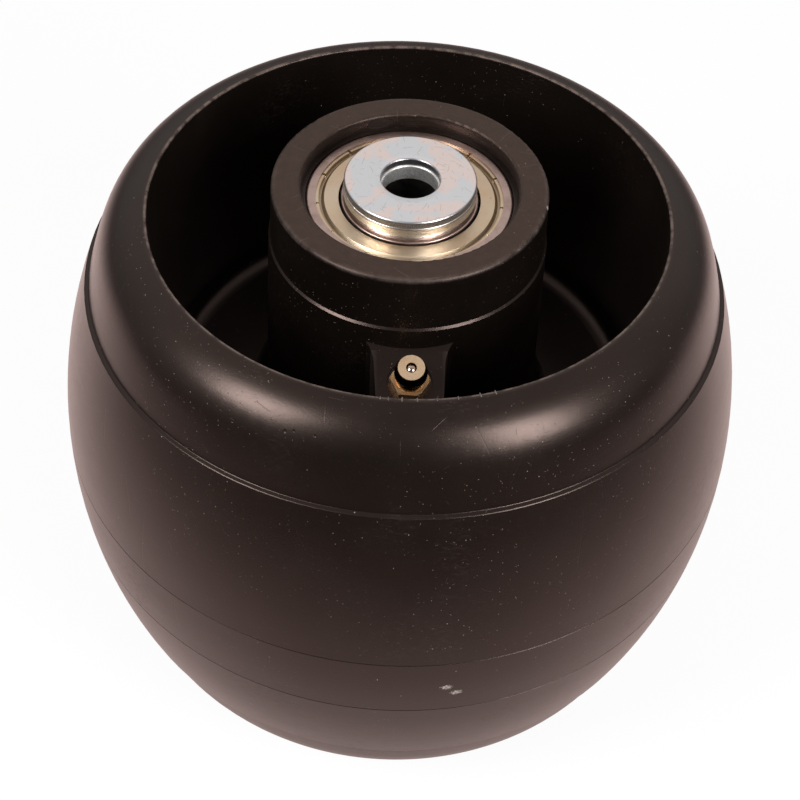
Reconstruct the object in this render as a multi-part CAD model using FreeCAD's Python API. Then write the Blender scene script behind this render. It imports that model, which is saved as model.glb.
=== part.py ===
"""A barrel-shaped deck wheel for a mower: one moulding on two ball bearings, with a grease fitting.

The wheel turns about Z. The origin is the wheel's centre, halfway between its two mouths, and the
grease fitting leans out of the hub towards -Y. All lengths are millimetres, all angles degrees.
"""

import FreeCAD
import Part

import math
import os

from FreeCAD import Vector

# Barrel: the tread, its shoulders and the deep recess in each end
barrel_length = 117.0
barrel_radius = 73.5
tread_fall = 6.85
mouth_radius = 52.8
mouth_land = 1.0
mouth_edge_round = 0.4
shoulder_crest_in = 0.34911
shoulder_crest_up = 0.85106
shoulder_straight = 3.0
shoulder_fullness = 0.55
shoulder_edge_round = 0.8
ledge_depth = 18.0
ledge_width = 0.85
ledge_fall = 0.25
ledge_nook_round = 0.3
ledge_lip_round = 0.25
recess_draft = 1.6
web_thickness = 11.0
web_fillet = 4.0

# Witness lines that the mould leaves around the tread
witness_heights = (2.6, -14.9)
witness_depth = 0.1
witness_width = 0.25

# Hub
hub_stand_out = 5.55
hub_radius = 27.9
hub_edge_round = 0.9
hub_draft = 1.2
hub_step_depth = 12.6
hub_step = 0.4
hub_root_fillet = 3.5
counterbore_clearance = 1.0
counterbore_edge_round = 0.6
bearing_depth = 3.3
bearing_shoulder = 2.7

# Ball bearings: both rings and the space between their lands
inner_ring_wall = 3.85
ball_space = 4.15
outer_ring_wall = 3.0
bearing_width = 12.0
bearing_round = 0.6
ball_radius = 3.175
ball_count = 9
race_gap = 0.08

# Shield, crimped into the mouth of the outer ring
shield_seat_step = 0.95
shield_seat_depth = 1.35
shield_thickness = 0.4
shield_hole_clearance = 0.5
shield_rim_width = 1.75
shield_below_face = 0.35
shield_valley_depth = 0.95
shield_curl_width = 0.65
shield_notches = 13
shield_notch_width = 0.5
shield_notch_turn = 13.0

# Cage of two riveted ribbons
cage_thickness = 0.5
cage_width = 2.9
cage_ball_clearance = 0.15
rivet_radius = 0.45
rivet_head_radius = 0.8
rivet_head_height = 0.35

# Axle sleeve, end spacers and end washers
bolt_hole_radius = 5.6
sleeve_bore_clearance = 0.9
sleeve_wall = 3.48
sleeve_fit = 0.02
sleeve_chamfer = 0.5
spacer_land_inset = 0.4
spacer_height = 3.25
spacer_foot_height = 1.3
spacer_foot_inset = 1.25
spacer_groove = 0.15
washer_inset = 0.15
washer_thickness = 1.6
washer_hole_clearance = 0.3
washer_edge_round = 0.45
hole_edge_round = 0.3

# Grease fitting and the boss that holds it
fitting_lean = 21.0
boss_top_below_hub_face = 17.6
boss_half_width = 7.0
boss_side_draft = 2.0
boss_beyond_spotface = 1.1
boss_corner_round = 2.0
boss_flare = 3.0
fitting_out_along_boss = 7.2
spotface_clearance = 0.45
spotface_depth = 0.3
thread_radius = 3.0
thread_length = 5.5
passage_radius = 1.75
hex_across_flats = 7.0
hex_height = 2.5
hex_chamfer = 0.35
hex_turn = -4.0
skirt_radius = 2.9
neck_radius = 2.35
neck_height = 1.7
head_radius = 3.25
head_length = 5.5
head_band = 0.8
face_radius = 2.6
check_ball_radius = 1.25
check_ball_gap = 0.05
lip_overlap = 0.2
lip_thickness = 0.6
chamber_clearance = 0.2
chamber_length = 6.4
duct_radius = 0.9
spring_wire_radius = 0.16
spring_turns = 5

# Radii that follow from the sizes above, from the bolt hole outwards
sleeve_bore_radius = bolt_hole_radius + sleeve_bore_clearance
sleeve_radius = sleeve_bore_radius + sleeve_wall
bearing_bore_radius = sleeve_radius + sleeve_fit
inner_land_radius = bearing_bore_radius + inner_ring_wall
outer_land_radius = inner_land_radius + ball_space
bearing_outer_radius = outer_land_radius + outer_ring_wall
cavity_radius = bearing_outer_radius - bearing_shoulder
ledge_radius = barrel_radius - tread_fall
pitch_radius = (inner_land_radius + outer_land_radius) / 2
race_radius = ball_radius + race_gap
shield_seat_radius = outer_land_radius + shield_seat_step
shield_flat_radius = shield_seat_radius - shield_rim_width
spacer_radius = inner_land_radius - spacer_land_inset
washer_radius = spacer_radius - washer_inset
washer_hole_radius = bolt_hole_radius + washer_hole_clearance
hex_corner_radius = hex_across_flats / math.sqrt(3)
spotface_radius = hex_corner_radius + spotface_clearance
lip_radius = check_ball_radius - lip_overlap
chamber_radius = check_ball_radius + chamber_clearance

# Heights that follow from the sizes above
mouth_z = barrel_length / 2
ledge_z = mouth_z - ledge_depth
floor_z = web_thickness / 2
hub_face_z = mouth_z + hub_stand_out
hub_step_z = hub_face_z - hub_step_depth
bearing_face_z = hub_face_z - bearing_depth
bearing_shoulder_z = bearing_face_z - bearing_width
race_z = -bearing_width / 2
washer_base_z = bearing_face_z + spacer_height
end_z = washer_base_z + washer_thickness

UP = Vector(0, 0, 1)
CENTRE = Vector(0, 0, 0)


def tangent_points(before, corner, after, radius):
    """Start, middle and end of the arc that rounds one corner of a section."""
    into = (before - corner).normalize()
    out = (after - corner).normalize()
    half = into.getAngle(out) / 2
    reach = radius / math.tan(half)
    bisector = (into + out).normalize()
    middle = corner + bisector * (radius / math.sin(half) - radius)
    return corner + into * reach, middle, corner + out * reach


def section(corners):
    """Face in the XZ plane from (x, z) corners.

    (x, z, r) is a corner rounded to radius r, (x, z, "via") is a point that a stretch passes
    through as an arc, and (x, z, "pole") is a point that pulls a stretch into a free curve.
    """
    edges = []
    count = len(corners)
    points = [Vector(c[0], 0, c[1]) for c in corners]
    kinds = [c[2] if len(c) > 2 else 0 for c in corners]
    entry = list(points)
    leave = list(points)
    for i, kind in enumerate(kinds):
        if kind and not isinstance(kind, str):
            start, middle, end = tangent_points(points[i - 1], points[i], points[(i + 1) % count], kind)
            edges.append(Part.Arc(start, middle, end).toShape())
            entry[i], leave[i] = start, end
    for i, kind in enumerate(kinds):
        following = (i + 1) % count
        if kind == "via":
            edges.append(Part.Arc(leave[i - 1], points[i], entry[following]).toShape())
        elif kind != "pole" and kinds[following] == "pole":
            end = following
            while kinds[end] == "pole":
                end += 1
            curve = Part.BezierCurve()
            curve.setPoles([leave[i], *points[following:end], entry[end]])
            edges.append(curve.toShape())
        elif kind != "pole" and kinds[following] != "via":
            edges.append(Part.LineSegment(leave[i], entry[following]).toShape())
    wire = Part.Wire(Part.__sortEdges__(edges))
    return Part.Face(wire)


def turned(corners):
    """Solid of revolution about Z."""
    return section(corners).revolve(CENTRE, UP, 360)


def flipped(shape):
    """The same piece in the lower end of the wheel."""
    return shape.mirror(CENTRE, UP)


def around(shape, count, first=0.0):
    """Copies of a shape, evenly spaced about Z."""
    copies = []
    for i in range(count):
        copy = shape.copy()
        copy.rotate(CENTRE, UP, first + 360.0 * i / count)
        copies.append(copy)
    return copies


def wall_radius(z):
    """Inner wall of the recess, which tapers in towards the web."""
    return mouth_radius - (mouth_z - z) * math.tan(math.radians(recess_draft))


def hub_wall_radius(z):
    """Outer wall of the hub, thicker by a small step below the bearing and tapered to its root."""
    taper = (hub_face_z - z) * math.tan(math.radians(hub_draft))
    return hub_radius + taper + (hub_step if z < hub_step_z else 0)


def tread_radius(z):
    """Crown of the tread, one arc from ledge to ledge."""
    fall = barrel_radius - ledge_radius
    crown = (ledge_z**2 + fall**2) / (2 * fall)
    return barrel_radius - crown + math.sqrt(crown**2 - z**2)


def shoulder_corners():
    """The shoulder from the mouth's land to the ledge, a taper that bends over more and more.

    The taper aims at a crest, set by how far in and up it lies between the ledge and the land.
    """
    top = Vector(mouth_radius + mouth_land, 0, mouth_z)
    nook = Vector(ledge_radius - ledge_width, 0, ledge_z + ledge_fall)
    gap = top - nook
    crest = nook + Vector(gap.x * shoulder_crest_in, 0, gap.z * shoulder_crest_up)
    up_taper = (crest - nook).normalize()
    bend_start = nook + up_taper * shoulder_straight
    bend_hold = bend_start + (crest - bend_start) * shoulder_fullness
    return [
        (top.x, top.z),
        (crest.x, crest.z, "pole"),
        (bend_hold.x, bend_hold.z, "pole"),
        (bend_start.x, bend_start.z),
        (nook.x, nook.z, ledge_nook_round),
    ]


def upper_section_corners():
    """Half of the moulding's section, from the grease cavity over hub, web and mouth to the ledge."""
    counterbore_radius = bearing_outer_radius + counterbore_clearance
    step_top = hub_step_z
    step_bottom = hub_step_z - hub_step
    return [
        (cavity_radius, bearing_shoulder_z),
        (bearing_outer_radius, bearing_shoulder_z),
        (bearing_outer_radius, bearing_face_z),
        (counterbore_radius, bearing_face_z),
        (counterbore_radius, hub_face_z, counterbore_edge_round),
        (hub_radius, hub_face_z, hub_edge_round),
        (hub_wall_radius(step_top), step_top),
        (hub_wall_radius(step_bottom), step_bottom),
        (hub_wall_radius(floor_z), floor_z, hub_root_fillet),
        (wall_radius(floor_z), floor_z, web_fillet),
        (mouth_radius, mouth_z, mouth_edge_round),
        *shoulder_corners(),
        (ledge_radius, ledge_z),
    ]


def rounded_rings(body, radius, size, tolerance=0.01):
    """Rounds every full circular edge of one radius."""
    rings = []
    for edge in body.Edges:
        ring = isinstance(edge.Curve, Part.Circle) and edge.Closed
        if ring and abs(edge.Curve.Radius - radius) < tolerance:
            rings.append(edge)
    return body.makeFillet(size, rings)


def barrel_and_hub():
    """The round part of the moulding, with its upper half mirrored below."""
    upper = upper_section_corners()
    lower = [(c[0], -c[1], *c[2:]) for c in reversed(upper)]
    body = turned(upper + [(barrel_radius, 0, "via")] + lower)
    body = rounded_rings(body, mouth_radius + mouth_land, shoulder_edge_round)
    return rounded_rings(body, ledge_radius, ledge_lip_round)


def witness_groove(z):
    """Fine V cut where two parts of the mould meet."""
    radius = tread_radius(z)
    return turned([
        (radius + witness_depth, z + witness_width),
        (radius - witness_depth, z),
        (radius + witness_depth, z - witness_width),
    ])


def leaned(shape):
    """Stands a piece, drawn along +Z, on the boss at the fitting's seat."""
    placed = shape.copy()
    placed.rotate(CENTRE, Vector(1, 0, 0), fitting_lean)
    placed.translate(fitting_seat())
    return placed


def boss_edge():
    """Where the boss's sloping top meets the front of the hub."""
    z = hub_face_z - boss_top_below_hub_face
    return Vector(0, -hub_wall_radius(z), z)


def fitting_seat():
    """Centre of the fitting's seat, part of the way out along the boss's sloping top."""
    lean = math.radians(fitting_lean)
    down_slope = Vector(0, -math.cos(lean), -math.sin(lean))
    return boss_edge() + down_slope * fitting_out_along_boss


def boss_reach():
    """How far the boss stands out from the axis, a little beyond the spotface."""
    return spotface_radius + boss_beyond_spotface - fitting_seat().y


def boss_plan():
    """Outline of the boss from above, with flared corners that run into the hub."""
    hub = hub_wall_radius(0)
    reach = boss_reach()
    side = boss_half_width
    flare_y = -math.sqrt(hub**2 - side**2) - boss_flare
    root_x = side + boss_flare
    root_y = -math.sqrt(hub_radius**2 - root_x**2)
    tip_x = side - (reach - hub) * math.tan(math.radians(boss_side_draft))
    nook = boss_corner_round * (1 - math.sqrt(0.5))
    bend = boss_flare * (1 - math.sqrt(0.5))
    right = [
        Vector(root_x, root_y, 0),
        Vector(side + bend, (flare_y + root_y) / 2 + bend / 2, 0),
        Vector(side, flare_y, 0),
        Vector(tip_x, boss_corner_round - reach, 0),
        Vector(tip_x - nook, nook - reach, 0),
        Vector(tip_x - boss_corner_round, -reach, 0),
    ]
    left = [Vector(-p.x, p.y, 0) for p in right]
    edges = [
        Part.Arc(right[0], right[1], right[2]),
        Part.LineSegment(right[2], right[3]),
        Part.Arc(right[3], right[4], right[5]),
        Part.LineSegment(right[5], left[5]),
        Part.Arc(left[5], left[4], left[3]),
        Part.LineSegment(left[3], left[2]),
        Part.Arc(left[2], left[1], left[0]),
        Part.LineSegment(left[0], right[0]),
    ]
    wire = Part.Wire(Part.__sortEdges__([edge.toShape() for edge in edges]))
    return Part.Face(wire)


def grease_boss():
    """Boss that stands on the web against the hub, with a sloping top for the fitting."""
    boss = boss_plan().extrude(Vector(0, 0, hub_face_z))
    above = Part.makeBox(barrel_length, barrel_length, barrel_length)
    above.translate(Vector(-barrel_length / 2, -barrel_length / 2, 0))
    return boss.cut(leaned(above))


def fitting_hole():
    """Spotface, threaded length and the passage that runs down into the grease cavity."""
    along = (abs(fitting_seat().y) - cavity_radius) / math.sin(math.radians(fitting_lean))
    spotface = Part.makeCylinder(spotface_radius, spotface_depth, Vector(0, 0, -spotface_depth))
    thread = Part.makeCylinder(thread_radius, thread_length, Vector(0, 0, -spotface_depth - thread_length))
    passage = Part.makeCylinder(passage_radius, along, Vector(0, 0, -along))
    return leaned(spotface.fuse([thread, passage]))


def wheel_body():
    """The black moulding: tread, web, hub and boss in one piece."""
    body = barrel_and_hub().fuse(grease_boss())
    cuts = [witness_groove(z) for z in witness_heights]
    cuts.append(fitting_hole())
    return body.cut(cuts).removeSplitter()


def race():
    """Space swept by the balls, which cuts the groove in both rings."""
    return Part.makeTorus(pitch_radius, race_radius, Vector(0, 0, race_z))


def outer_ring():
    """Hardened ring pressed into the hub, with a shield seat in each face."""
    seat = shield_seat_depth
    ring = turned([
        (bearing_outer_radius, 0, bearing_round),
        (shield_seat_radius, 0),
        (shield_seat_radius, -seat),
        (outer_land_radius, -seat),
        (outer_land_radius, seat - bearing_width),
        (shield_seat_radius, seat - bearing_width),
        (shield_seat_radius, -bearing_width),
        (bearing_outer_radius, -bearing_width, bearing_round),
    ])
    return ring.cut(race())


def inner_ring():
    """Hardened ring on the axle sleeve."""
    ring = turned([
        (bearing_bore_radius, 0, bearing_round),
        (inner_land_radius, 0, bearing_round / 2),
        (inner_land_radius, -bearing_width, bearing_round / 2),
        (bearing_bore_radius, -bearing_width, bearing_round),
    ])
    return ring.cut(race())


def balls():
    """The balls, as one group of separate solids."""
    ball = Part.makeSphere(ball_radius, Vector(pitch_radius, 0, race_z))
    return Part.makeCompound(around(ball, ball_count))


def pocket(radius, reach):
    """Cylinder across the ribbon over one ball, its axis pointing outward."""
    start = Vector(pitch_radius - reach, 0, 0)
    return Part.makeCylinder(radius, 2 * reach, start, Vector(1, 0, 0))


def cage_half():
    """One pressed ribbon, flat between the balls and arched over each, above the plane z = 0."""
    inner = pitch_radius - cage_width / 2
    outer = pitch_radius + cage_width / 2
    room = ball_radius + cage_ball_clearance
    flat = turned([(inner, 0), (outer, 0), (outer, cage_thickness), (inner, cage_thickness)])
    band = turned([(inner, 0), (outer, 0), (outer, 2 * room), (inner, 2 * room)])
    arches = around(pocket(room + cage_thickness, cage_width), ball_count)
    spaces = around(pocket(room, cage_width), ball_count)
    half_pitch = 180.0 / ball_count
    hole = Part.makeCylinder(rivet_radius, cage_thickness, Vector(pitch_radius, 0, 0))
    ribbon = flat.fuse([arch.common(band) for arch in arches])
    return ribbon.cut(spaces + around(hole, ball_count, half_pitch))


def cage_rivets():
    """Rivets that hold the two ribbons together, midway between the balls."""
    grip = cage_thickness
    head = grip + rivet_head_height
    rivet = turned([
        (0, head),
        (rivet_head_radius, grip),
        (rivet_radius, grip),
        (rivet_radius, -grip),
        (rivet_head_radius, -grip),
        (0, -head),
    ])
    rivet.translate(Vector(pitch_radius, 0, 0))
    return Part.makeCompound(around(rivet, ball_count, 180.0 / ball_count))


def shield():
    """Pressed disc with its rim curled into the outer ring and notched at even steps."""
    hole = inner_land_radius + shield_hole_clearance
    top = -shield_below_face
    under = top - shield_thickness
    valley = -shield_valley_depth
    curl = shield_seat_radius - shield_curl_width
    slope = valley - top
    valley_radius = shield_flat_radius - slope
    disc = turned([
        (hole, top),
        (shield_flat_radius, top),
        (valley_radius, valley),
        (curl, valley),
        (curl, top),
        (shield_seat_radius, top),
        (shield_seat_radius, -shield_seat_depth),
        (shield_flat_radius, -shield_seat_depth),
        (shield_flat_radius + slope, under),
        (hole + shield_thickness, under),
        (hole, under - shield_thickness),
    ])
    notch = Part.makeBox(2 * shield_curl_width, shield_notch_width, shield_valley_depth)
    notch.translate(Vector(curl - shield_curl_width / 2, -shield_notch_width / 2, valley))
    return disc.cut(around(notch, shield_notches, 90.0 + shield_notch_turn))


def axle_sleeve():
    """Tube through both bearings that keeps the end spacers apart."""
    return turned([
        (sleeve_bore_radius, bearing_face_z, sleeve_chamfer),
        (sleeve_radius, bearing_face_z, sleeve_chamfer),
        (sleeve_radius, -bearing_face_z, sleeve_chamfer),
        (sleeve_bore_radius, -bearing_face_z, sleeve_chamfer),
    ])


def end_spacer():
    """Turned collar on the inner ring, with a narrower foot and a fine groove above it."""
    foot = inner_land_radius - spacer_foot_inset
    foot_top = bearing_face_z + spacer_foot_height
    groove_z = bearing_face_z + spacer_foot_height / 3
    return turned([
        (bolt_hole_radius, bearing_face_z),
        (foot, bearing_face_z),
        (foot, groove_z - spacer_groove),
        (foot - spacer_groove, groove_z),
        (foot, groove_z + spacer_groove),
        (foot, foot_top),
        (spacer_radius, foot_top),
        (spacer_radius, washer_base_z, hole_edge_round),
        (bolt_hole_radius, washer_base_z, hole_edge_round),
    ])


def end_washer():
    """Punched flat washer, rounded where the punch went in."""
    return turned([
        (washer_hole_radius, washer_base_z),
        (washer_radius, washer_base_z),
        (washer_radius, end_z, washer_edge_round),
        (washer_hole_radius, end_z, hole_edge_round),
    ])


def hexagon():
    """Spanner hexagon of the fitting, with turned corners."""
    corner = hex_corner_radius
    points = []
    for i in range(7):
        turn = math.radians(60.0 * i + hex_turn)
        points.append(Vector(corner * math.cos(turn), corner * math.sin(turn), 0))
    prism = Part.Face(Part.makePolygon(points)).extrude(Vector(0, 0, hex_height))
    turned_corners = turned([
        (0, 0),
        (corner - hex_chamfer, 0),
        (corner, hex_chamfer),
        (corner, hex_height - hex_chamfer),
        (corner - hex_chamfer, hex_height),
        (0, hex_height),
    ])
    return prism.common(turned_corners)


def fitting_body():
    """Grease fitting: threaded shank, hexagon and the head that the grease gun grips."""
    face = hex_height + head_length
    band_low = face - head_length / 2
    head = turned([
        (0, -thread_length),
        (thread_radius, -thread_length),
        (thread_radius, 0),
        (skirt_radius, hex_height),
        (neck_radius, hex_height + neck_height),
        (head_radius, band_low),
        (head_radius, band_low + head_band),
        (face_radius, face),
        (0, face),
    ])
    inside = turned([
        (0, -thread_length),
        (duct_radius, -thread_length),
        (duct_radius, face - chamber_length),
        (chamber_radius, face - chamber_length),
        (chamber_radius, face - lip_thickness),
        (lip_radius, face - lip_thickness),
        (lip_radius, face),
        (0, face),
    ])
    shape = head.fuse(hexagon()).cut(inside).removeSplitter()
    shape.translate(Vector(0, 0, -spotface_depth))
    return leaned(shape)


def check_ball_height():
    """Height of the check ball's centre over the seat, with the ball against the lip."""
    face = hex_height + head_length - spotface_depth
    below_lip = math.sqrt(check_ball_radius**2 - lip_radius**2)
    return face - lip_thickness - below_lip - check_ball_gap


def fitting_check_ball():
    """Steel ball that closes the fitting from inside."""
    return leaned(Part.makeSphere(check_ball_radius, Vector(0, 0, check_ball_height())))


def coil(radius, wire_radius, height, turns):
    """Coil spring of half turns, each a half ring tilted by its share of the pitch."""
    halves = []
    for i in range(2 * turns):
        side = -1 if i % 2 else 1
        start = Vector(side * radius, 0, height * i / (2 * turns))
        end = Vector(-side * radius, 0, height * (i + 1) / (2 * turns))
        middle = (start + end) * 0.5
        axis = (start - middle).cross(Vector(0, side, 0))
        wire = Part.Wire(Part.makeCircle(wire_radius, start, Vector(0, 1, 0)))
        halves.append(Part.Face(wire).revolve(middle, axis, 180))
    return halves[0].fuse(halves[1:])


def fitting_spring():
    """Coil spring that holds the check ball against the lip."""
    coil_radius = chamber_radius - 2 * spring_wire_radius
    foot = hex_height + head_length - spotface_depth - chamber_length + 1.5 * spring_wire_radius
    reach = check_ball_radius + spring_wire_radius
    top = check_ball_height() - math.sqrt(reach**2 - coil_radius**2) - spring_wire_radius
    spring = coil(coil_radius, spring_wire_radius, top - foot, spring_turns)
    spring.translate(Vector(0, 0, foot))
    return leaned(spring)


def save(node, shape):
    """Writes one piece."""
    shape.exportStep(os.path.join("parts", node + ".step"))
    print(node, len(shape.Solids), "valid" if shape.isValid() else "NOT VALID", round(shape.Volume, 1))


def save_bearing_part(name, shape, z=bearing_face_z):
    """Writes one piece of the bearings at each end of the hub."""
    placed = shape.copy()
    placed.translate(Vector(0, 0, z))
    save("upper_bearing_" + name, placed)
    save("lower_bearing_" + name, flipped(placed))


def main():
    os.makedirs("parts", exist_ok=True)
    save("wheel_body", wheel_body())
    save_bearing_part("outer_ring", outer_ring())
    save_bearing_part("inner_ring", inner_ring())
    save_bearing_part("balls", balls())
    save_bearing_part("shield", shield())
    half = cage_half()
    save_bearing_part("cage_outer_half", half, bearing_face_z + race_z)
    save_bearing_part("cage_inner_half", flipped(half), bearing_face_z + race_z)
    save_bearing_part("cage_rivets", cage_rivets(), bearing_face_z + race_z)
    save("axle_sleeve", axle_sleeve())
    save("upper_end_spacer", end_spacer())
    save("lower_end_spacer", flipped(end_spacer()))
    save("upper_washer", end_washer())
    save("lower_washer", flipped(end_washer()))
    save("grease_fitting_body", fitting_body())
    save("fitting_check_ball", fitting_check_ball())
    save("fitting_spring", fitting_spring())


main()
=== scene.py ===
import math

import bmesh
import bpy
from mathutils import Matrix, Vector


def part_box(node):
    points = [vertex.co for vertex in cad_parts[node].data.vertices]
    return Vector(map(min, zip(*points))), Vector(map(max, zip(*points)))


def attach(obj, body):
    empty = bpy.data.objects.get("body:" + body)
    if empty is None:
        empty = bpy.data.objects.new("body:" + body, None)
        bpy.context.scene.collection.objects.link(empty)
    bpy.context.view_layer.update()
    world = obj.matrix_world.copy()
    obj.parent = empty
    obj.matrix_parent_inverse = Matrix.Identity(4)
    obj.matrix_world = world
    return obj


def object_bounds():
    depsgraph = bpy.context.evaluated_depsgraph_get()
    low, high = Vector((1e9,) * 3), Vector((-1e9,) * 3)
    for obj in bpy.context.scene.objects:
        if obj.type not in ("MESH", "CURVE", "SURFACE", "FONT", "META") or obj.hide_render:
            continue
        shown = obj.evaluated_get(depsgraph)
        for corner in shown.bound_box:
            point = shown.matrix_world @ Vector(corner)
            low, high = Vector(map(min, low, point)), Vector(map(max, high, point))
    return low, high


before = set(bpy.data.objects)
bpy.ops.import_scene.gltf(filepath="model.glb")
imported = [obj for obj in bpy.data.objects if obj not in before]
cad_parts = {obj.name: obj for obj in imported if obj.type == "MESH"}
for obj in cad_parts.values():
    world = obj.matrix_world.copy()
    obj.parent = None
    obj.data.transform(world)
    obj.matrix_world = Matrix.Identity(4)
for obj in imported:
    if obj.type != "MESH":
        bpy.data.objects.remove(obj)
cad_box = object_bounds()
bpy.context.scene.view_settings.view_transform = "Standard"


# Wheel moulding. One piece of black nylon, injection moulded: barrel, web, hub and the boss of the
# grease fitting. Satin skin with a fine grain and faint rings from the mould's turning, dust that
# clings to it, short stray scratches, three small dents and a scuff from handling.
TREAD_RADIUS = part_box("wheel_body")[1].x
MOUTH_RADIUS = 0.0528
MOUTH_Z = 0.0585
LAND_WIDTH = 0.00035
HUB_RADIUS = 0.0279
HUB_FACE_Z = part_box("wheel_body")[1].z
COUNTERBORE_RADIUS = 0.022
COUNTERBORE_DEPTH = 0.0040
BOSS_HALF_WIDTH = 0.0066
BOSS_FOOT_Z = 0.030
SHOULDER_DENTS = (
    ((-0.02352, -0.05647, 0.05316), 0.00042),
    ((-0.02187, -0.05679, 0.05356), 0.00034),
    ((-0.01803, -0.05803, 0.05367), 0.00034),
)
SCUFFS = ((0.0087, -0.0729, -0.0058), (0.0108, -0.0724, -0.0082))
SCUFF_HALF_WIDTH = 0.0013
SCUFF_HALF_HEIGHT = 0.00085
GATE_MARK = (-0.0059, 0.0212, 0.0624)
GATE_MARK_HALF_WIDTH = 0.0025
GATE_MARK_HALF_HEIGHT = 0.0013
HUB_NICK = (0.0274, -0.00597, 0.0636)
HUB_NICK_REACH = 0.0007
NYLON_BLACK = (0.0036, 0.0024, 0.0018, 1.0)
NYLON_RUBBED = (0.018, 0.013, 0.0105, 1.0)
NYLON_SHEEN = (1.0, 0.74, 0.66, 1.0)
HUB_FACE_REFLECTION_TONE = (0.026, 0.0135, 0.0085, 1.0)
LAND_PALE = (0.100, 0.074, 0.062, 1.0)
BOSS_EDGE_HIGHLIGHT = (0.020, 0.015, 0.0125, 1.0)
DUST_WHITE = (0.30, 0.265, 0.24, 1.0)
DUST_RUST = (0.24, 0.14, 0.075, 1.0)
PALE_SCRATCH_AND_HIGHLIGHT = (0.085, 0.068, 0.060, 1.0)
SCUFF_PALE = (0.36, 0.32, 0.285, 1.0)
NYLON_ROUGHNESS = 0.235
NYLON_RELIEF = 0.00004


def new_finish(name, metallic, roughness):
    """A material with one Principled shader; returns the material, its tree and the shader."""
    material = bpy.data.materials.new(name)
    material.use_nodes = True
    tree = material.node_tree
    shader = tree.nodes["Principled BSDF"]
    shader.inputs["Metallic"].default_value = metallic
    shader.inputs["Roughness"].default_value = roughness
    return material, tree, shader


def fill(tree, socket, value):
    """Gives an input a value, or links another node's output to it."""
    if isinstance(value, bpy.types.NodeSocket):
        tree.links.new(value, socket)
    else:
        socket.default_value = value


def node(tree, kind, inputs=None, **settings):
    """One shader node with its settings; each input is a value or another node's output."""
    made = tree.nodes.new(kind)
    for name, value in settings.items():
        setattr(made, name, value)
    for name, value in (inputs or {}).items():
        fill(tree, made.inputs[name], value)
    return made


def calc(tree, operation, first, second=0.0):
    """Result of one sum on two numbers or outputs."""
    return node(tree, "ShaderNodeMath", {0: first, 1: second}, operation=operation).outputs[0]


def chain(tree, operation, values):
    """Numbers or outputs joined by one kind of sum, from the first to the last."""
    joined = values[0]
    for value in values[1:]:
        joined = calc(tree, operation, joined, value)
    return joined


def times(tree, *factors):
    """Product of several numbers or outputs."""
    return chain(tree, "MULTIPLY", factors)


def plus(tree, *terms):
    """Total of several numbers or outputs."""
    return chain(tree, "ADD", terms)


def largest(tree, *values):
    """Largest of several numbers or outputs."""
    return chain(tree, "MAXIMUM", values)


def ramp(tree, value, low, high, at_low=0.0, at_high=1.0):
    """Value carried from low..high to at_low..at_high, held beyond both ends."""
    inputs = {"Value": value, "From Min": low, "From Max": high, "To Min": at_low, "To Max": at_high}
    return node(tree, "ShaderNodeMapRange", inputs, clamp=True).outputs["Result"]


def blend(tree, share, first, second):
    """Colour mixed from two colours or outputs."""
    return node(tree, "ShaderNodeMix", {0: share, 6: first, 7: second}, data_type="RGBA").outputs[2]


def coated(tree, colour, *coats):
    """Colour with coats laid over it in turn, each a share and the coat's own colour."""
    for share, coat in coats:
        colour = blend(tree, share, colour, coat)
    return colour


def noise(tree, place, scale, detail=3.0, roughness=0.5):
    """Cloudy value from 0 to 1; scale is in clouds per metre."""
    inputs = {"Vector": place, "Scale": scale, "Detail": detail, "Roughness": roughness}
    return node(tree, "ShaderNodeTexNoise", inputs).outputs["Fac"]


def object_place(tree):
    """The point on the piece, with its x, y, z and its distance from the axle line."""
    place = node(tree, "ShaderNodeTexCoord").outputs["Object"]
    parts = node(tree, "ShaderNodeSeparateXYZ", {"Vector": place}).outputs
    x, y, z = parts["X"], parts["Y"], parts["Z"]
    radius = calc(tree, "SQRT", plus(tree, times(tree, x, x), times(tree, y, y)))
    return place, x, y, z, radius


def point(tree, x, y, z=0.0):
    """A place made of three numbers or outputs."""
    return node(tree, "ShaderNodeCombineXYZ", {"X": x, "Y": y, "Z": z}).outputs[0]


def ring_noise(tree, spot, turns, outward, upward, detail=3.0, roughness=0.5):
    """Cloudy value drawn out into rings about the axle, with its scales round, outwards and up."""
    place, x, y, z, radius = spot
    angle = calc(tree, "ARCTAN2", y, x)
    drawn_out = point(tree, times(tree, angle, turns), times(tree, radius, outward), times(tree, z, upward))
    return noise(tree, drawn_out, 1.0, detail, roughness)


def near(tree, place, centre, reach, fade=0.6):
    """1 close to a spot on the piece, falling to 0 at its reach."""
    away = node(tree, "ShaderNodeVectorMath", {0: place, 1: centre}, operation="DISTANCE").outputs["Value"]
    return ramp(tree, away, reach * (1.0 - fade), reach, 1.0, 0.0)


def oval(tree, x, z, centre, half_width, half_height):
    """Squared distance from the middle of an upright oval, 1 on its outline."""
    across = times(tree, calc(tree, "SUBTRACT", x, centre[0]), 1.0 / half_width)
    upward = times(tree, calc(tree, "SUBTRACT", z, centre[2]), 1.0 / half_height)
    return plus(tree, times(tree, across, across), times(tree, upward, upward))


def random_pair(tree, colour):
    """Two separate random numbers of a cell, from 0 to 1."""
    parts = node(tree, "ShaderNodeSeparateColor", {"Color": colour}).outputs
    return parts["Red"], parts["Green"]


def specks(tree, place, cells_per_metre, size, kept):
    """Grains of dust, one in some of the cells; returns their mark and a random number of each."""
    cells = node(tree, "ShaderNodeTexVoronoi", {"Vector": place, "Scale": cells_per_metre})
    red, green = random_pair(tree, cells.outputs["Color"])
    reach = size * cells_per_metre
    grain = ramp(tree, cells.outputs["Distance"], 0.55 * reach, reach, 1.0, 0.0)
    return times(tree, grain, ramp(tree, red, 1.0 - kept, 1.0, 0.0, 1.0)), green


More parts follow.
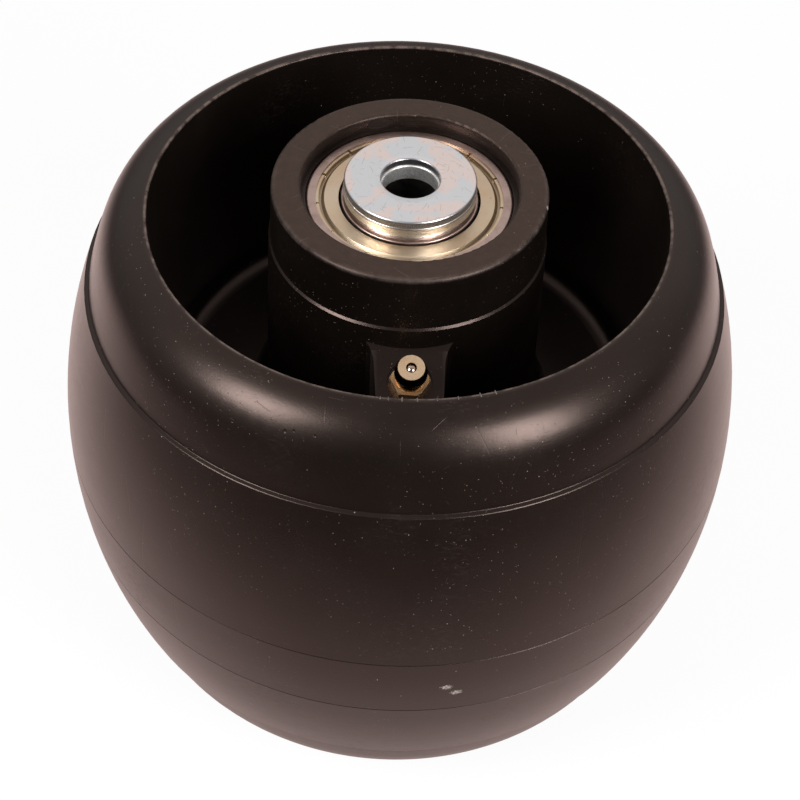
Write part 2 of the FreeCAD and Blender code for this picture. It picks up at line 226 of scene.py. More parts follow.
def strays(tree, flat_place, cells_per_metre, length, width, curl, kept):
    """Short curved hairs or scratches, each turned its own way, one in some cells of a flat layout."""
    inputs = {"Vector": flat_place, "Scale": cells_per_metre}
    cells = node(tree, "ShaderNodeTexVoronoi", inputs, voronoi_dimensions="2D")
    red, green = random_pair(tree, cells.outputs["Color"])
    inputs = {0: flat_place, 1: cells.outputs["Position"]}
    away = node(tree, "ShaderNodeVectorMath", inputs, operation="SUBTRACT").outputs[0]
    inputs = {"Vector": away, "Angle": times(tree, green, 2.0 * math.pi)}
    turned = node(tree, "ShaderNodeVectorRotate", inputs, rotation_type="Z_AXIS").outputs[0]
    parts = node(tree, "ShaderNodeSeparateXYZ", {"Vector": turned}).outputs
    bow = times(tree, parts["X"], parts["X"], ramp(tree, red, 0.0, 1.0, -curl, curl))
    across = calc(tree, "ABSOLUTE", calc(tree, "SUBTRACT", parts["Y"], bow))
    along = calc(tree, "ABSOLUTE", parts["X"])
    return times(
        tree,
        ramp(tree, across, 0.35 * width, width, 1.0, 0.0),
        ramp(tree, along, 0.3 * length, 0.5 * length, 1.0, 0.0),
        ramp(tree, red, 1.0 - kept, 1.0 - 0.6 * kept),
    )


def wire_up(tree, shader, colour, rough, relief=None, depth=0.0, strength=1.0):
    """Joins a finish's colour, roughness and relief, depth metres high, to its shader."""
    tree.links.new(colour, shader.inputs["Base Color"])
    tree.links.new(rough, shader.inputs["Roughness"])
    if relief is not None:
        bump = node(tree, "ShaderNodeBump", {"Height": relief, "Distance": depth, "Strength": strength})
        tree.links.new(bump.outputs["Normal"], shader.inputs["Normal"])


def dress(names, material):
    """Gives the material to every slot of the named CAD nodes."""
    for name in names:
        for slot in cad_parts[name].material_slots:
            slot.material = material


nylon, tree, shader = new_finish("moulded_nylon", 0.0, 0.26)
shader.inputs["IOR"].default_value = 1.5
shader.inputs["Specular Tint"].default_value = NYLON_SHEEN
spot = object_place(tree)
place, x, y, z, radius = spot
height = calc(tree, "ABSOLUTE", z)
aside = calc(tree, "ABSOLUTE", x)
on_land = times(
    tree,
    ramp(tree, height, MOUTH_Z - 0.0005, MOUTH_Z - 0.0001),
    ramp(tree, radius, MOUTH_RADIUS - 0.0004, MOUTH_RADIUS - 0.0002),
    ramp(tree, radius, MOUTH_RADIUS + LAND_WIDTH, MOUTH_RADIUS + 2.0 * LAND_WIDTH, 1.0, 0.0),
)
on_hub_face = ramp(tree, height, HUB_FACE_Z - 0.0004, HUB_FACE_Z - 0.0001)
hub_corner = HUB_RADIUS + HUB_FACE_Z
on_hub_edge = times(
    tree,
    ramp(tree, plus(tree, radius, height), hub_corner - 0.0011, hub_corner - 0.0006),
    ramp(tree, radius, HUB_RADIUS + 0.0005, HUB_RADIUS + 0.0015, 1.0, 0.0),
)
on_counterbore = times(
    tree,
    ramp(tree, radius, COUNTERBORE_RADIUS + 0.0004, COUNTERBORE_RADIUS + 0.0009, 1.0, 0.0),
    ramp(tree, height, HUB_FACE_Z - COUNTERBORE_DEPTH, HUB_FACE_Z - 0.8 * COUNTERBORE_DEPTH),
)
on_boss = times(
    tree,
    calc(tree, "LESS_THAN", y, -HUB_RADIUS - 0.0012),
    calc(tree, "LESS_THAN", radius, MOUTH_RADIUS - 0.006),
    ramp(tree, z, BOSS_FOOT_Z, BOSS_FOOT_Z + 0.004),
)
# Painted highlight: a paler strip along both side edges of the boss, standing in for the light its edges
# catch.
boss_edge_highlight = plus(
    tree,
    ramp(tree, aside, BOSS_HALF_WIDTH - 0.0003, BOSS_HALF_WIDTH, 0.0, 0.40),
    ramp(tree, aside, BOSS_HALF_WIDTH + 0.0001, BOSS_HALF_WIDTH + 0.0010, 0.0, 0.60),
)

cloud = noise(tree, place, 60.0, 4.0)
mottle = noise(tree, place, 500.0, 5.0, 0.6)
grain = noise(tree, place, 2600.0, 3.0, 0.6)
rings = ring_noise(tree, spot, turns=7.0, outward=1100.0, upward=1100.0, detail=4.0, roughness=0.65)
wipes = ring_noise(tree, spot, turns=14.0, outward=210.0, upward=210.0, roughness=0.6)
cutter_rings = ring_noise(tree, spot, turns=5.0, outward=5200.0, upward=5200.0, roughness=0.7)
smear_rings = ring_noise(tree, spot, turns=45.0, outward=2600.0, upward=2600.0, roughness=0.7)

around = times(tree, calc(tree, "ARCTAN2", y, x), TREAD_RADIUS)
lower_end = times(tree, calc(tree, "LESS_THAN", z, 0.0), 40.0 * TREAD_RADIUS)
skin_place = point(tree, plus(tree, around, lower_end), calc(tree, "SUBTRACT", height, radius))
dusty_spot = ramp(tree, noise(tree, place, 38.0, 2.0), 0.42, 0.62, 0.1, 1.0)
dust, dust_hue = specks(tree, place, cells_per_metre=380.0, size=0.00016, kept=0.75)
fine_dust, fine_hue = specks(tree, place, cells_per_metre=900.0, size=0.00013, kept=0.85)
fine_dust = times(tree, fine_dust, dusty_spot)
pits = specks(tree, place, cells_per_metre=1150.0, size=0.00012, kept=0.7)[0]
hairs = strays(tree, skin_place, cells_per_metre=60.0, length=0.0036, width=0.00005, curl=90.0, kept=0.15)
scratches = strays(
    tree, skin_place, cells_per_metre=130.0, length=0.0020, width=0.00005, curl=40.0, kept=0.15
)
lint = strays(tree, skin_place, cells_per_metre=300.0, length=0.0007, width=0.00006, curl=300.0, kept=0.25)
lint = times(tree, lint, dusty_spot)
hub_scratches = strays(
    tree, point(tree, x, y), cells_per_metre=150.0, length=0.0045, width=0.00007, curl=25.0, kept=0.55
)
marks = largest(tree, hairs, scratches)
smudged_spot = ramp(tree, noise(tree, place, 48.0, 2.0), 0.56, 0.70)
smudges = times(tree, smudged_spot, ramp(tree, smear_rings, 0.52, 0.68))
# Hub's rounded outer edge: mottled rubbing, painted lighter as a highlight.
hub_edge_rub_and_highlight = times(tree, on_hub_edge, ramp(tree, mottle, 0.35, 0.70, 0.1, 1.0))
worn_rings = times(tree, on_hub_face, ramp(tree, cutter_rings, 0.60, 0.72))
dents = largest(tree, *[near(tree, place, centre, reach) for centre, reach in SHOULDER_DENTS])
torn_place = point(tree, times(tree, x, 1900.0), times(tree, z, 5200.0))
torn = ramp(tree, noise(tree, torn_place, 1.0, 4.0, 0.75), 0.32, 0.68, -1.5, 1.5)
scuff = 0.0
for centre in SCUFFS:
    ragged = plus(tree, oval(tree, x, z, centre, SCUFF_HALF_WIDTH, SCUFF_HALF_HEIGHT), torn)
    scuff = largest(tree, scuff, ramp(tree, ragged, 0.1, 0.7, 1.0, 0.0))
scuff = times(tree, scuff, calc(tree, "LESS_THAN", y, 0.0))
gate_oval = oval(tree, x, z, GATE_MARK, GATE_MARK_HALF_WIDTH, GATE_MARK_HALF_HEIGHT)
gate_mark = ramp(tree, gate_oval, 0.8, 1.0, 1.0, 0.0)
gate_mark = times(tree, gate_mark, calc(tree, "GREATER_THAN", y, 0.0), on_counterbore)
hub_nick = near(tree, place, HUB_NICK, HUB_NICK_REACH)

colour = coated(
    tree,
    blend(tree, ramp(tree, cloud, 0.35, 0.75, 0.0, 0.14), NYLON_BLACK, NYLON_RUBBED),
    (times(tree, smudges, 0.10), PALE_SCRATCH_AND_HIGHLIGHT),
    # painted reflection: the hub's top face is lighter and warm, standing in for the room light it mirrors
    (times(tree, on_hub_face, ramp(tree, mottle, 0.3, 0.7, 0.45, 0.9)), HUB_FACE_REFLECTION_TONE),
    # the mouth's land painted paler, mottled
    (times(tree, on_land, ramp(tree, mottle, 0.38, 0.58, 0.15, 1.0)), LAND_PALE),
    # painted highlight on the boss's side edges
    (times(tree, on_boss, boss_edge_highlight), BOSS_EDGE_HIGHLIGHT),
    (times(tree, on_counterbore, ramp(tree, cutter_rings, 0.5, 0.7)), NYLON_RUBBED),
    # painted highlight and rubbing on the hub's outer edge, worn rings on its face
    (times(tree, largest(tree, hub_edge_rub_and_highlight, worn_rings), 0.35), PALE_SCRATCH_AND_HIGHLIGHT),
    (times(tree, hub_scratches, on_hub_face, 0.5), PALE_SCRATCH_AND_HIGHLIGHT),
    (times(tree, marks, 0.18), PALE_SCRATCH_AND_HIGHLIGHT),
    (times(tree, gate_mark, 0.8), NYLON_BLACK),
    (times(tree, largest(tree, scuff, hub_nick), 0.85), SCUFF_PALE),
    (times(tree, lint, 0.28), DUST_WHITE),
    (times(tree, fine_dust, 0.6), blend(tree, fine_hue, DUST_WHITE, DUST_RUST)),
    (times(tree, dust, 0.65), blend(tree, dust_hue, DUST_WHITE, DUST_RUST)),
)
rough = plus(
    tree,
    NYLON_ROUGHNESS,
    times(tree, rings, 0.05),
    times(tree, mottle, 0.05),
    times(tree, wipes, 0.03),
    times(tree, on_hub_face, ramp(tree, cutter_rings, 0.3, 0.7, 0.04, 0.16)),
    times(tree, largest(tree, on_land, on_hub_edge), 0.12),
    times(tree, largest(tree, scuff, smudges), 0.15),
    times(tree, on_counterbore, 0.10),
    times(tree, gate_mark, 0.30),
)
relief = plus(
    tree,
    times(tree, grain, 0.55),
    times(tree, rings, 0.22),
    times(tree, largest(tree, dust, fine_dust), 1.2),
    times(tree, largest(tree, on_counterbore, on_hub_face), cutter_rings, 0.5),
    times(tree, pits, -1.2),
    times(tree, largest(tree, marks, hub_scratches), -0.5),
    times(tree, dents, -5.0),
    times(tree, gate_mark, -2.5),
    times(tree, scuff, 1.5),
)
wire_up(tree, shader, colour, rough, relief, NYLON_RELIEF, strength=0.6)
dress(["wheel_body"], nylon)


# Burrs. Small slivers of nylon that the deburring knife left at nearly even steps across the front
# of the upper mouth's land, each a little proud of it and rubbed pale.
BURR_BEARINGS = (-96.8, -95.2, -92.5, -89.5, -85.6, -81.4, -76.9, -73.8)
BURR_LENGTH = 0.00095
BURR_WIDTH = 0.00030
BURR_HEIGHT = 0.00006
LAND_MIDDLE = MOUTH_RADIUS + 1.2 * LAND_WIDTH
BURR_WHITE = (0.12, 0.098, 0.087, 1.0)
BURR_GREY = (0.05, 0.041, 0.036, 1.0)


def burr_shape(mesh, bearing, stretch):
    """One sliver that lies across the land and leans over towards the axle."""
    made = bmesh.ops.create_uvsphere(mesh, u_segments=12, v_segments=8, radius=1.0)
    turn = math.radians(bearing)
    outward = Vector((math.cos(turn), math.sin(turn), 0.0))
    sideways = Vector((-math.sin(turn), math.cos(turn), 0.0))
    middle = outward * LAND_MIDDLE + Vector((0.0, 0.0, MOUTH_Z))
    for vertex in made["verts"]:
        across, along, up = vertex.co
        lean = -0.5 * max(up, 0.0)
        vertex.co = (
            middle
            + outward * (0.5 * BURR_LENGTH * stretch * (along + lean))
            + sideways * (0.5 * BURR_WIDTH * stretch * across * (1.0 - 0.3 * up))
            + Vector((0.0, 0.0, BURR_HEIGHT * up))
        )


burr_mesh = bmesh.new()
for step, bearing in enumerate(BURR_BEARINGS):
    burr_shape(burr_mesh, bearing, 0.8 + 0.4 * math.sin(2.4 * step) ** 2)
bmesh.ops.recalc_face_normals(burr_mesh, faces=burr_mesh.faces)
for face in burr_mesh.faces:
    face.smooth = True
burrs = bpy.data.objects.new("mouth_burrs", bpy.data.meshes.new("mouth_burrs"))
burr_mesh.to_mesh(burrs.data)
burr_mesh.free()
bpy.context.scene.collection.objects.link(burrs)

burr_skin, tree, shader = new_finish("rubbed_nylon_burr", 0.0, 0.45)
place = node(tree, "ShaderNodeTexCoord").outputs["Object"]
rubbed = noise(tree, place, 2500.0)
colour = blend(tree, ramp(tree, rubbed, 0.35, 0.65), BURR_GREY, BURR_WHITE)
wire_up(tree, shader, colour, ramp(tree, rubbed, 0.3, 0.7, 0.35, 0.55), rubbed, depth=0.00003)
burrs.data.materials.append(burr_skin)
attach(burrs, "wheel")


# Outer rings. Hardened bearing steel, pressed into the hub; the ground face has a fine even grain
# and fine grinding rings, slightly pink from the old oil film on it.
RING_STEEL = (0.50, 0.375, 0.335, 1.0)
RING_STAIN = (0.30, 0.215, 0.185, 1.0)

ring_steel, tree, shader = new_finish("ground_bearing_steel", 1.0, 0.3)
spot = object_place(tree)
grain = noise(tree, spot[0], 3200.0, 4.0, 0.6)
stain = noise(tree, spot[0], 260.0, 5.0, 0.65)
rings = ring_noise(tree, spot, turns=3.0, outward=9000.0, upward=9000.0, detail=2.0)
colour = blend(tree, ramp(tree, stain, 0.45, 0.72, 0.0, 0.8), RING_STEEL, RING_STAIN)
relief = plus(tree, grain, times(tree, rings, 0.6))
wire_up(tree, shader, colour, ramp(tree, grain, 0.2, 0.8, 0.24, 0.40), relief, depth=0.000006)
dress(["upper_bearing_outer_ring", "lower_bearing_outer_ring"], ring_steel)


# Inner rings. The same steel and grinding as the outer rings; each is a push fit on the axle sleeve
# and is held there by the end spacer that stands on it.
dress(["upper_bearing_inner_ring", "lower_bearing_inner_ring"], ring_steel)


# Shields. Thin steel pressings with a pale yellow zinc plate, crimped into the outer ring through
# their curled, notched rim; grease and dust have turned the valley beside the rim olive brown.
SHIELD_RIM_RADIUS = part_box("upper_bearing_shield")[1].x
SHIELD_VALLEY_WIDTH = 0.00175
SHIELD_CURL_WIDTH = 0.00065
SHIELD_GOLD = (0.66, 0.505, 0.345, 1.0)
SHIELD_PALE = (0.72, 0.595, 0.45, 1.0)
SHIELD_GRIME = (0.15, 0.105, 0.055, 1.0)

shield_plate, tree, shader = new_finish("yellow_zinc_shield", 1.0, 0.42)
place, x, y, z, radius = object_place(tree)
cloud = noise(tree, place, 160.0, 4.0)
grain = noise(tree, place, 1900.0, 4.0, 0.6)
flat_radius = SHIELD_RIM_RADIUS - SHIELD_VALLEY_WIDTH
curl_radius = SHIELD_RIM_RADIUS - SHIELD_CURL_WIDTH
in_valley = times(
    tree,
    ramp(tree, radius, flat_radius - 0.0001, flat_radius + 0.0003),
    ramp(tree, radius, curl_radius - 0.0001, curl_radius + 0.0002, 1.0, 0.0),
)
stains = ramp(tree, noise(tree, place, 900.0, 5.0, 0.7), 0.66, 0.74)
colour = coated(
    tree,
    blend(tree, ramp(tree, cloud, 0.35, 0.65), SHIELD_GOLD, SHIELD_PALE),
    (times(tree, in_valley, 0.55), SHIELD_GRIME),
    (times(tree, stains, 0.5), SHIELD_GRIME),
)
relief = plus(tree, times(tree, grain, 0.3), cloud)
wire_up(tree, shader, colour, ramp(tree, grain, 0.25, 0.75, 0.36, 0.46), relief, depth=0.000005)
dress(["upper_bearing_shield", "lower_bearing_shield"], shield_plate)


# Balls. Nine polished chrome steel balls in each bearing, which roll between the two rings with a
# thin and uneven film of grease on them.
BALL_STEEL = (0.74, 0.73, 0.72, 1.0)
GREASE_FILM = (0.34, 0.30, 0.22, 1.0)

ball_steel, tree, shader = new_finish("polished_balls", 1.0, 0.08)
place = node(tree, "ShaderNodeTexCoord").outputs["Object"]
film = noise(tree, place, 600.0, 4.0)
colour = blend(tree, ramp(tree, film, 0.5, 0.7, 0.0, 0.6), BALL_STEEL, GREASE_FILM)
wire_up(tree, shader, colour, ramp(tree, film, 0.4, 0.7, 0.05, 0.3))
dress(["upper_bearing_balls", "lower_bearing_balls"], ball_steel)


# Cages. Two pressed steel ribbons go round the balls of each bearing, with a pocket for every ball,
# and small rivets between the pockets hold them together.
CAGE_STEEL = (0.47, 0.45, 0.42, 1.0)
CAGE_DARK = (0.25, 0.22, 0.18, 1.0)

cage_steel, tree, shader = new_finish("pressed_cage_steel", 1.0, 0.4)
place = node(tree, "ShaderNodeTexCoord").outputs["Object"]
patches = noise(tree, place, 500.0, 5.0)
colour = blend(tree, ramp(tree, patches, 0.4, 0.7), CAGE_STEEL, CAGE_DARK)
wire_up(tree, shader, colour, ramp(tree, patches, 0.3, 0.7, 0.3, 0.5), patches, depth=0.00001)
for end in ("upper", "lower"):
    dress([end + "_bearing_cage_" + part for part in ("outer_half", "inner_half", "rivets")], cage_steel)


# Axle sleeve. A plain steel tube through both bearings; the mower's bolt passes through it, and its
# bore is as drawn, dark with oil and with fine rings from the parting tool.
SLEEVE_STEEL = (0.20, 0.185, 0.175, 1.0)
SLEEVE_OIL = (0.07, 0.06, 0.052, 1.0)

sleeve_steel, tree, shader = new_finish("drawn_tube_steel", 1.0, 0.38)
spot = object_place(tree)
rings = ring_noise(tree, spot, turns=1.5, outward=2000.0, upward=2600.0)
oil = noise(tree, spot[0], 300.0, 4.0)
colour = blend(tree, ramp(tree, oil, 0.35, 0.65), SLEEVE_STEEL, SLEEVE_OIL)
wire_up(tree, shader, colour, ramp(tree, rings, 0.3, 0.7, 0.28, 0.46), rings, depth=0.00003)
dress(["axle_sleeve"], sleeve_steel)


# End spacers. Turned steel collars that stand on the inner rings, bright zinc plated; the outside
# is smooth enough to mirror the shield, and the bore is frosted, painted a lighter bluish silver as light.
SPACER_BORE_RADIUS = 0.0065
ZINC_BRIGHT = (0.64, 0.605, 0.555, 1.0)
ZINC_GREY = (0.50, 0.47, 0.43, 1.0)
BORE_FROST_AND_LIGHT = (0.80, 0.81, 0.82, 1.0)

spacer_zinc, tree, shader = new_finish("bright_zinc_turning", 1.0, 0.3)
spot = object_place(tree)
place, x, y, z, radius = spot
rings = ring_noise(tree, spot, turns=1.2, outward=4000.0, upward=4500.0)
bore_frost_and_light = ramp(tree, radius, SPACER_BORE_RADIUS + 0.0001, SPACER_BORE_RADIUS + 0.0007, 1.0, 0.0)
crystals = noise(tree, place, 2400.0)
colour = coated(
    tree,
    ZINC_BRIGHT,
    # painted light: the bore is a lighter bluish silver, standing in for the light its far wall catches
    (times(tree, bore_frost_and_light, ramp(tree, crystals, 0.35, 0.6, 1.0, 0.6)), BORE_FROST_AND_LIGHT),
    (ramp(tree, crystals, 0.4, 0.7), blend(tree, bore_frost_and_light, ZINC_GREY, ZINC_BRIGHT)),
)
rough = plus(tree, ramp(tree, rings, 0.3, 0.7, 0.24, 0.36), times(tree, bore_frost_and_light, 0.22))
relief = plus(tree, rings, times(tree, crystals, bore_frost_and_light))
wire_up(tree, shader, colour, rough, relief, depth=0.000006)
dress(["upper_end_spacer", "lower_end_spacer"], spacer_zinc)


# End washers. Punched from sheet and zinc plated: a bluish silver face with pinkish patches, fine
# brown hair scratches; painted shade darkens the rolled edges, where the punch went in, and the side.
WASHER_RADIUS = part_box("upper_washer")[1].x
WASHER_HOLE_RADIUS = 0.0059
WASHER_FACE_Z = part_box("upper_washer")[1].z
WASHER_SILVER = (0.745, 0.775, 0.805, 1.0)
WASHER_PINK = (0.86, 0.755, 0.725, 1.0)
WASHER_SCRATCH_AND_EDGE_SHADE = (0.46, 0.45, 0.46, 1.0)
WASHER_SIDE_SHADE = (0.20, 0.19, 0.185, 1.0)
WASHER_HAIR = (0.36, 0.25, 0.18, 1.0)

washer_zinc, tree, shader = new_finish("zinc_plated_sheet", 1.0, 0.32)
spot = object_place(tree)
place, x, y, z, radius = spot
face_place = point(tree, x, y)
patches = noise(tree, place, 130.0, 2.0)
grain = noise(tree, place, 2400.0, 4.0, 0.6)
torn_side = ring_noise(tree, spot, turns=60.0, outward=300.0, upward=1500.0, detail=4.0, roughness=0.7)
blooms = specks(tree, place, cells_per_metre=700.0, size=0.0003, kept=0.4)[0]
hairs = largest(
    tree,
    strays(tree, face_place, cells_per_metre=260.0, length=0.0026, width=0.00008, curl=160.0, kept=0.8),
    strays(tree, face_place, cells_per_metre=560.0, length=0.0012, width=0.00007, curl=320.0, kept=0.7),
)
scratches = strays(tree, face_place, cells_per_metre=95.0, length=0.0045, width=0.00009, curl=15.0, kept=0.4)
# Painted shade: a darker ring along the rounded outer edge and along the hole's edge.
shaded_rolled_edges = largest(
    tree,
    ramp(tree, radius, WASHER_RADIUS - 0.0003, WASHER_RADIUS - 0.0001),
    ramp(tree, radius, WASHER_HOLE_RADIUS + 0.0001, WASHER_HOLE_RADIUS + 0.0003, 1.0, 0.0),
)
dished = ramp(tree, radius, WASHER_HOLE_RADIUS + 0.0001, WASHER_HOLE_RADIUS + 0.0012)
below_face = calc(tree, "SUBTRACT", WASHER_FACE_Z, calc(tree, "ABSOLUTE", z))
# The punched side: painted shade makes it dark, streaked by its real torn grain.
on_side = times(
    tree,
    ramp(tree, radius, WASHER_RADIUS - 0.00035, WASHER_RADIUS - 0.00015),
    ramp(tree, below_face, 0.00022, 0.00040),
)
colour = coated(
    tree,
    blend(tree, ramp(tree, patches, 0.45, 0.50), WASHER_SILVER, WASHER_PINK),
    (times(tree, blooms, 0.35), WASHER_PINK),
    (times(tree, hairs, 0.42), WASHER_HAIR),
    (times(tree, scratches, 0.35), WASHER_SCRATCH_AND_EDGE_SHADE),
    (shaded_rolled_edges, WASHER_SCRATCH_AND_EDGE_SHADE),
    (times(tree, on_side, ramp(tree, torn_side, 0.38, 0.58, 0.35, 1.0)), WASHER_SIDE_SHADE),
)
rough = plus(tree, ramp(tree, grain, 0.25, 0.75, 0.26, 0.38), times(tree, on_side, 0.12))
relief = plus(
    tree,
    grain,
    times(tree, largest(tree, hairs, scratches), -1.0),
    times(tree, dished, 12.0),
    times(tree, on_side, torn_side, 5.0),
)
wire_up(tree, shader, colour, rough, relief, depth=0.000008)
dress(["upper_washer", "lower_washer"], washer_zinc)


# Grease fitting. A turned steel fitting with yellow passivated zinc, screwed into the boss by its
# hexagon; the undercut side of its head is painted nearly black up to the face, as shade.
FITTING_SEAT = (0.0, -0.03539, 0.04387)
FITTING_LEAN = math.radians(21.0)
HEXAGON_TOP = 0.0022
FITTING_FACE = 0.0077
FITTING_GOLD = (0.64, 0.435, 0.255, 1.0)
FITTING_PALE = (0.74, 0.54, 0.355, 1.0)
FITTING_ORANGE = (0.62, 0.355, 0.165, 1.0)
FITTING_SIDE_SHADE = (0.006, 0.004, 0.0025, 1.0)

fitting_zinc, tree, shader = new_finish("yellow_passivated_zinc", 1.0, 0.24)
place, x, y, z, radius = object_place(tree)
along_axis = plus(
    tree,
    times(tree, calc(tree, "SUBTRACT", y, FITTING_SEAT[1]), -math.sin(FITTING_LEAN)),
    times(tree, calc(tree, "SUBTRACT", z, FITTING_SEAT[2]), math.cos(FITTING_LEAN)),
)
patches = noise(tree, place, 300.0, 2.0)
smear = noise(tree, place, 900.0, 4.0, 0.6)
grain = noise(tree, place, 2600.0)
on_face = ramp(tree, along_axis, FITTING_FACE - 0.0003, FITTING_FACE - 0.0001)
head_side = times(
    tree,
    ramp(tree, along_axis, HEXAGON_TOP + 0.0001, HEXAGON_TOP + 0.0006),
    ramp(tree, along_axis, FITTING_FACE - 0.0003, FITTING_FACE - 0.0001, 1.0, 0.0),
)
# Painted shade: the head's side, from the hexagon up to the face, is painted nearly black.
head_side_shade = times(tree, head_side, ramp(tree, smear, 0.25, 0.45, 0.85, 1.0))
colour = coated(
    tree,
    blend(tree, ramp(tree, patches, 0.35, 0.65), FITTING_GOLD, FITTING_ORANGE),
    (on_face, blend(tree, ramp(tree, patches, 0.25, 0.5), FITTING_GOLD, FITTING_PALE)),
    (times(tree, head_side_shade, 0.97), FITTING_SIDE_SHADE),
)
rough = plus(tree, ramp(tree, grain, 0.25, 0.75, 0.40, 0.48), times(tree, head_side_shade, -0.16))
wire_up(tree, shader, colour, rough, grain, depth=0.000004)
dress(["grease_fitting_body"], fitting_zinc)


# Check ball and its spring. A small polished ball closes the fitting from inside, brown with old
# grease, held against the lip by a coil of bright wire.
CHECK_BALL_STEEL = (0.60, 0.49, 0.43, 1.0)
CHECK_BALL_GREASE = (0.34, 0.25, 0.19, 1.0)
SPRING_WIRE = (0.45, 0.44, 0.43, 1.0)
SPRING_DARK = (0.25, 0.22, 0.18, 1.0)

greasy_ball, tree, shader = new_finish("greasy_check_ball", 1.0, 0.2)
film = noise(tree, node(tree, "ShaderNodeTexCoord").outputs["Object"], 900.0)
colour = blend(tree, ramp(tree, film, 0.4, 0.7), CHECK_BALL_STEEL, CHECK_BALL_GREASE)
wire_up(tree, shader, colour, ramp(tree, film, 0.4, 0.7, 0.16, 0.26))
dress(["fitting_check_ball"], greasy_ball)

spring_wire, tree, shader = new_finish("bright_spring_wire", 1.0, 0.25)
tarnish = noise(tree, node(tree, "ShaderNodeTexCoord").outputs["Object"], 900.0)
tree.links.new(blend(tree, tarnish, SPRING_WIRE, SPRING_DARK), shader.inputs["Base Color"])
dress(["fitting_spring"], spring_wire)


# Floor. A plain white sheet under the wheel, which stands on its lower washer; what the tread
# mirrors of it is brightest near the wheel and falls off outwards, sooner in front than beside.
FLOOR_REACH = 3.0
FLOOR_WHITE = (0.82, 0.82, 0.82, 1.0)
FLOOR_MIRRORED = (1.0, 0.76, 0.715, 1.0)
PLAIN_WHITE = (1.0, 1.0, 1.0, 1.0)
FLOOR_GLOW_SHARE = 0.92
MIRRORED_NEARBY = 0.86


def by_ray(tree, seen, mirrored, otherwise):
    """Shader that differs for what the camera sees, what shiny surfaces mirror and all other light."""
    path = node(tree, "ShaderNodeLightPath").outputs
    shiny = largest(tree, path["Is Glossy Ray"], path["Is Transmission Ray"])
    lit = node(tree, "ShaderNodeMixShader", {0: shiny, 1: otherwise, 2: mirrored}).outputs[0]
    return node(tree, "ShaderNodeMixShader", {0: path["Is Camera Ray"], 1: lit, 2: seen}).outputs[0]


bpy.ops.mesh.primitive_plane_add(size=2 * FLOOR_REACH, location=(0.0, 0.0, cad_box[0][2]))
floor = bpy.context.object
floor.name = "floor"
paper = bpy.data.materials.new("white_sheet")
paper.use_nodes = True
tree = paper.node_tree
tree.nodes.clear()
place, x, y, z, radius = object_place(tree)
matt = node(tree, "ShaderNodeBsdfDiffuse", {"Color": FLOOR_WHITE}).outputs[0]
glow = node(tree, "ShaderNodeEmission", {"Color": PLAIN_WHITE, "Strength": 1.0}).outputs[0]
seen = node(tree, "ShaderNodeMixShader", {0: FLOOR_GLOW_SHARE, 1: matt, 2: glow}).outputs[0]
wide_x = times(tree, x, 0.66)
out = calc(tree, "SQRT", plus(tree, times(tree, wide_x, wide_x), times(tree, y, y)))
out = times(tree, out, ramp(tree, y, -0.03, 0.12, 1.0, 0.50))
mirrored_light = plus(
    tree, MIRRORED_NEARBY, ramp(tree, out, 0.10, 0.25, 0.0, -0.58), ramp(tree, out, 0.25, 0.42, 0.0, -0.20)
)
mirrored_light = times(
    tree,
    mirrored_light,
    ramp(tree, calc(tree, "ABSOLUTE", x), 0.04, 0.12, 1.0, 1.22),
    ramp(tree, y, 0.0, 0.15, 1.0, 1.35),
    ramp(tree, y, -0.11, -0.04, 0.88, 1.0),
    ramp(tree, y, 0.15, 0.30, 1.0, 0.72),
)
mirrored = node(tree, "ShaderNodeEmission", {"Color": FLOOR_MIRRORED, "Strength": mirrored_light}).outputs[0]
node(tree, "ShaderNodeOutputMaterial", {"Surface": by_ray(tree, seen, mirrored, matt)})
floor.data.materials.append(paper)


# Studio. A pale room that is bright high up behind the wheel and dim in front of it and overhead,
# with a soft box to the left and one to the right of the camera.
ROOM_WARM = (1.0, 0.95, 0.93, 1.0)
ROOM_PLAIN = 0.45
ROOM_LEVEL = 0.26
ROOM_UPWARD = 0.38
ROOM_BEHIND = 0.52

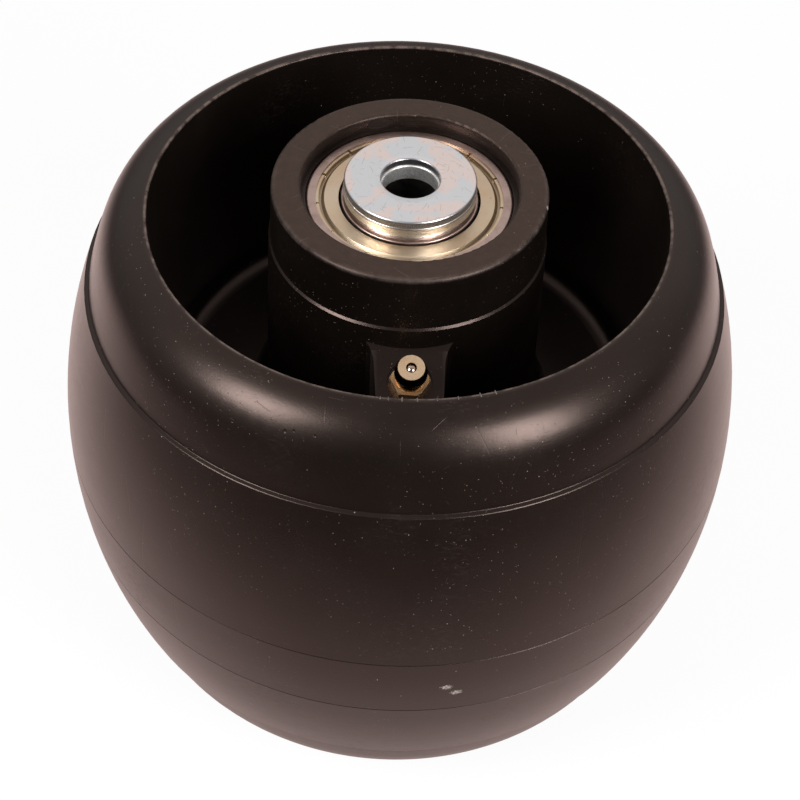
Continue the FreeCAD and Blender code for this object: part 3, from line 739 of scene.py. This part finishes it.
world = bpy.data.worlds.new("studio")
bpy.context.scene.world = world
world.use_nodes = True
tree = world.node_tree
tree.nodes.clear()
direction = node(tree, "ShaderNodeTexCoord").outputs["Generated"]
parts = node(tree, "ShaderNodeSeparateXYZ", {"Vector": direction}).outputs
up = largest(tree, parts["Z"], 0.0)
behind = ramp(tree, parts["Y"], 0.2, 0.68)
beside = plus(tree, parts["Y"], times(tree, calc(tree, "ABSOLUTE", parts["X"]), 0.9))
room_light = plus(tree, ROOM_LEVEL, times(tree, up, ROOM_UPWARD), times(tree, behind, up, ROOM_BEHIND))
room_light = times(tree, room_light, ramp(tree, beside, -0.4, 0.5, 0.20, 0.95))
room = node(tree, "ShaderNodeBackground", {"Color": ROOM_WARM, "Strength": room_light}).outputs[0]
plain = node(tree, "ShaderNodeBackground", {"Color": PLAIN_WHITE, "Strength": ROOM_PLAIN}).outputs[0]
white = node(tree, "ShaderNodeBackground", {"Color": PLAIN_WHITE, "Strength": 1.0}).outputs[0]
node(tree, "ShaderNodeOutputWorld", {"Surface": by_ray(tree, white, room, plain)})


def soft_box(name, bearing, elevation, distance, size, power):
    """Rectangular lamp aimed at the wheel, with its bearing counted from +X towards +Y."""
    lamp = bpy.data.lights.new(name, "AREA")
    lamp.shape = "RECTANGLE"
    lamp.size, lamp.size_y = size
    lamp.energy = power
    box = bpy.data.objects.new(name, lamp)
    bpy.context.scene.collection.objects.link(box)
    level = distance * math.cos(math.radians(elevation))
    box.location = (
        level * math.cos(math.radians(bearing)),
        level * math.sin(math.radians(bearing)),
        distance * math.sin(math.radians(elevation)),
    )
    box.rotation_euler = (math.radians(90.0 - elevation), 0.0, math.radians(bearing + 90.0))


soft_box("left_soft_box", bearing=-146.0, elevation=41.0, distance=0.9, size=(0.30, 0.42), power=6.4)
soft_box("right_soft_box", bearing=-49.0, elevation=31.0, distance=0.9, size=(0.30, 0.50), power=7.6)


# Camera. A longish lens above the front of the wheel, looking down into its upper mouth at the
# photograph's angle.
CAMERA_PLACE = (-0.01466, -0.26713, 0.29296)
CAMERA_TURN_DEGREES = (42.364, -2.099, -0.901)
LENS_MM = 78.75
SENSOR_MM = 36.0

camera = bpy.data.objects.new("camera", bpy.data.cameras.new("camera"))
bpy.context.scene.collection.objects.link(camera)
camera.data.lens = LENS_MM
camera.data.sensor_width = SENSOR_MM
camera.data.clip_start = 0.01
camera.location = CAMERA_PLACE
camera.rotation_euler = [math.radians(turn) for turn in CAMERA_TURN_DEGREES]
bpy.context.scene.camera = camera
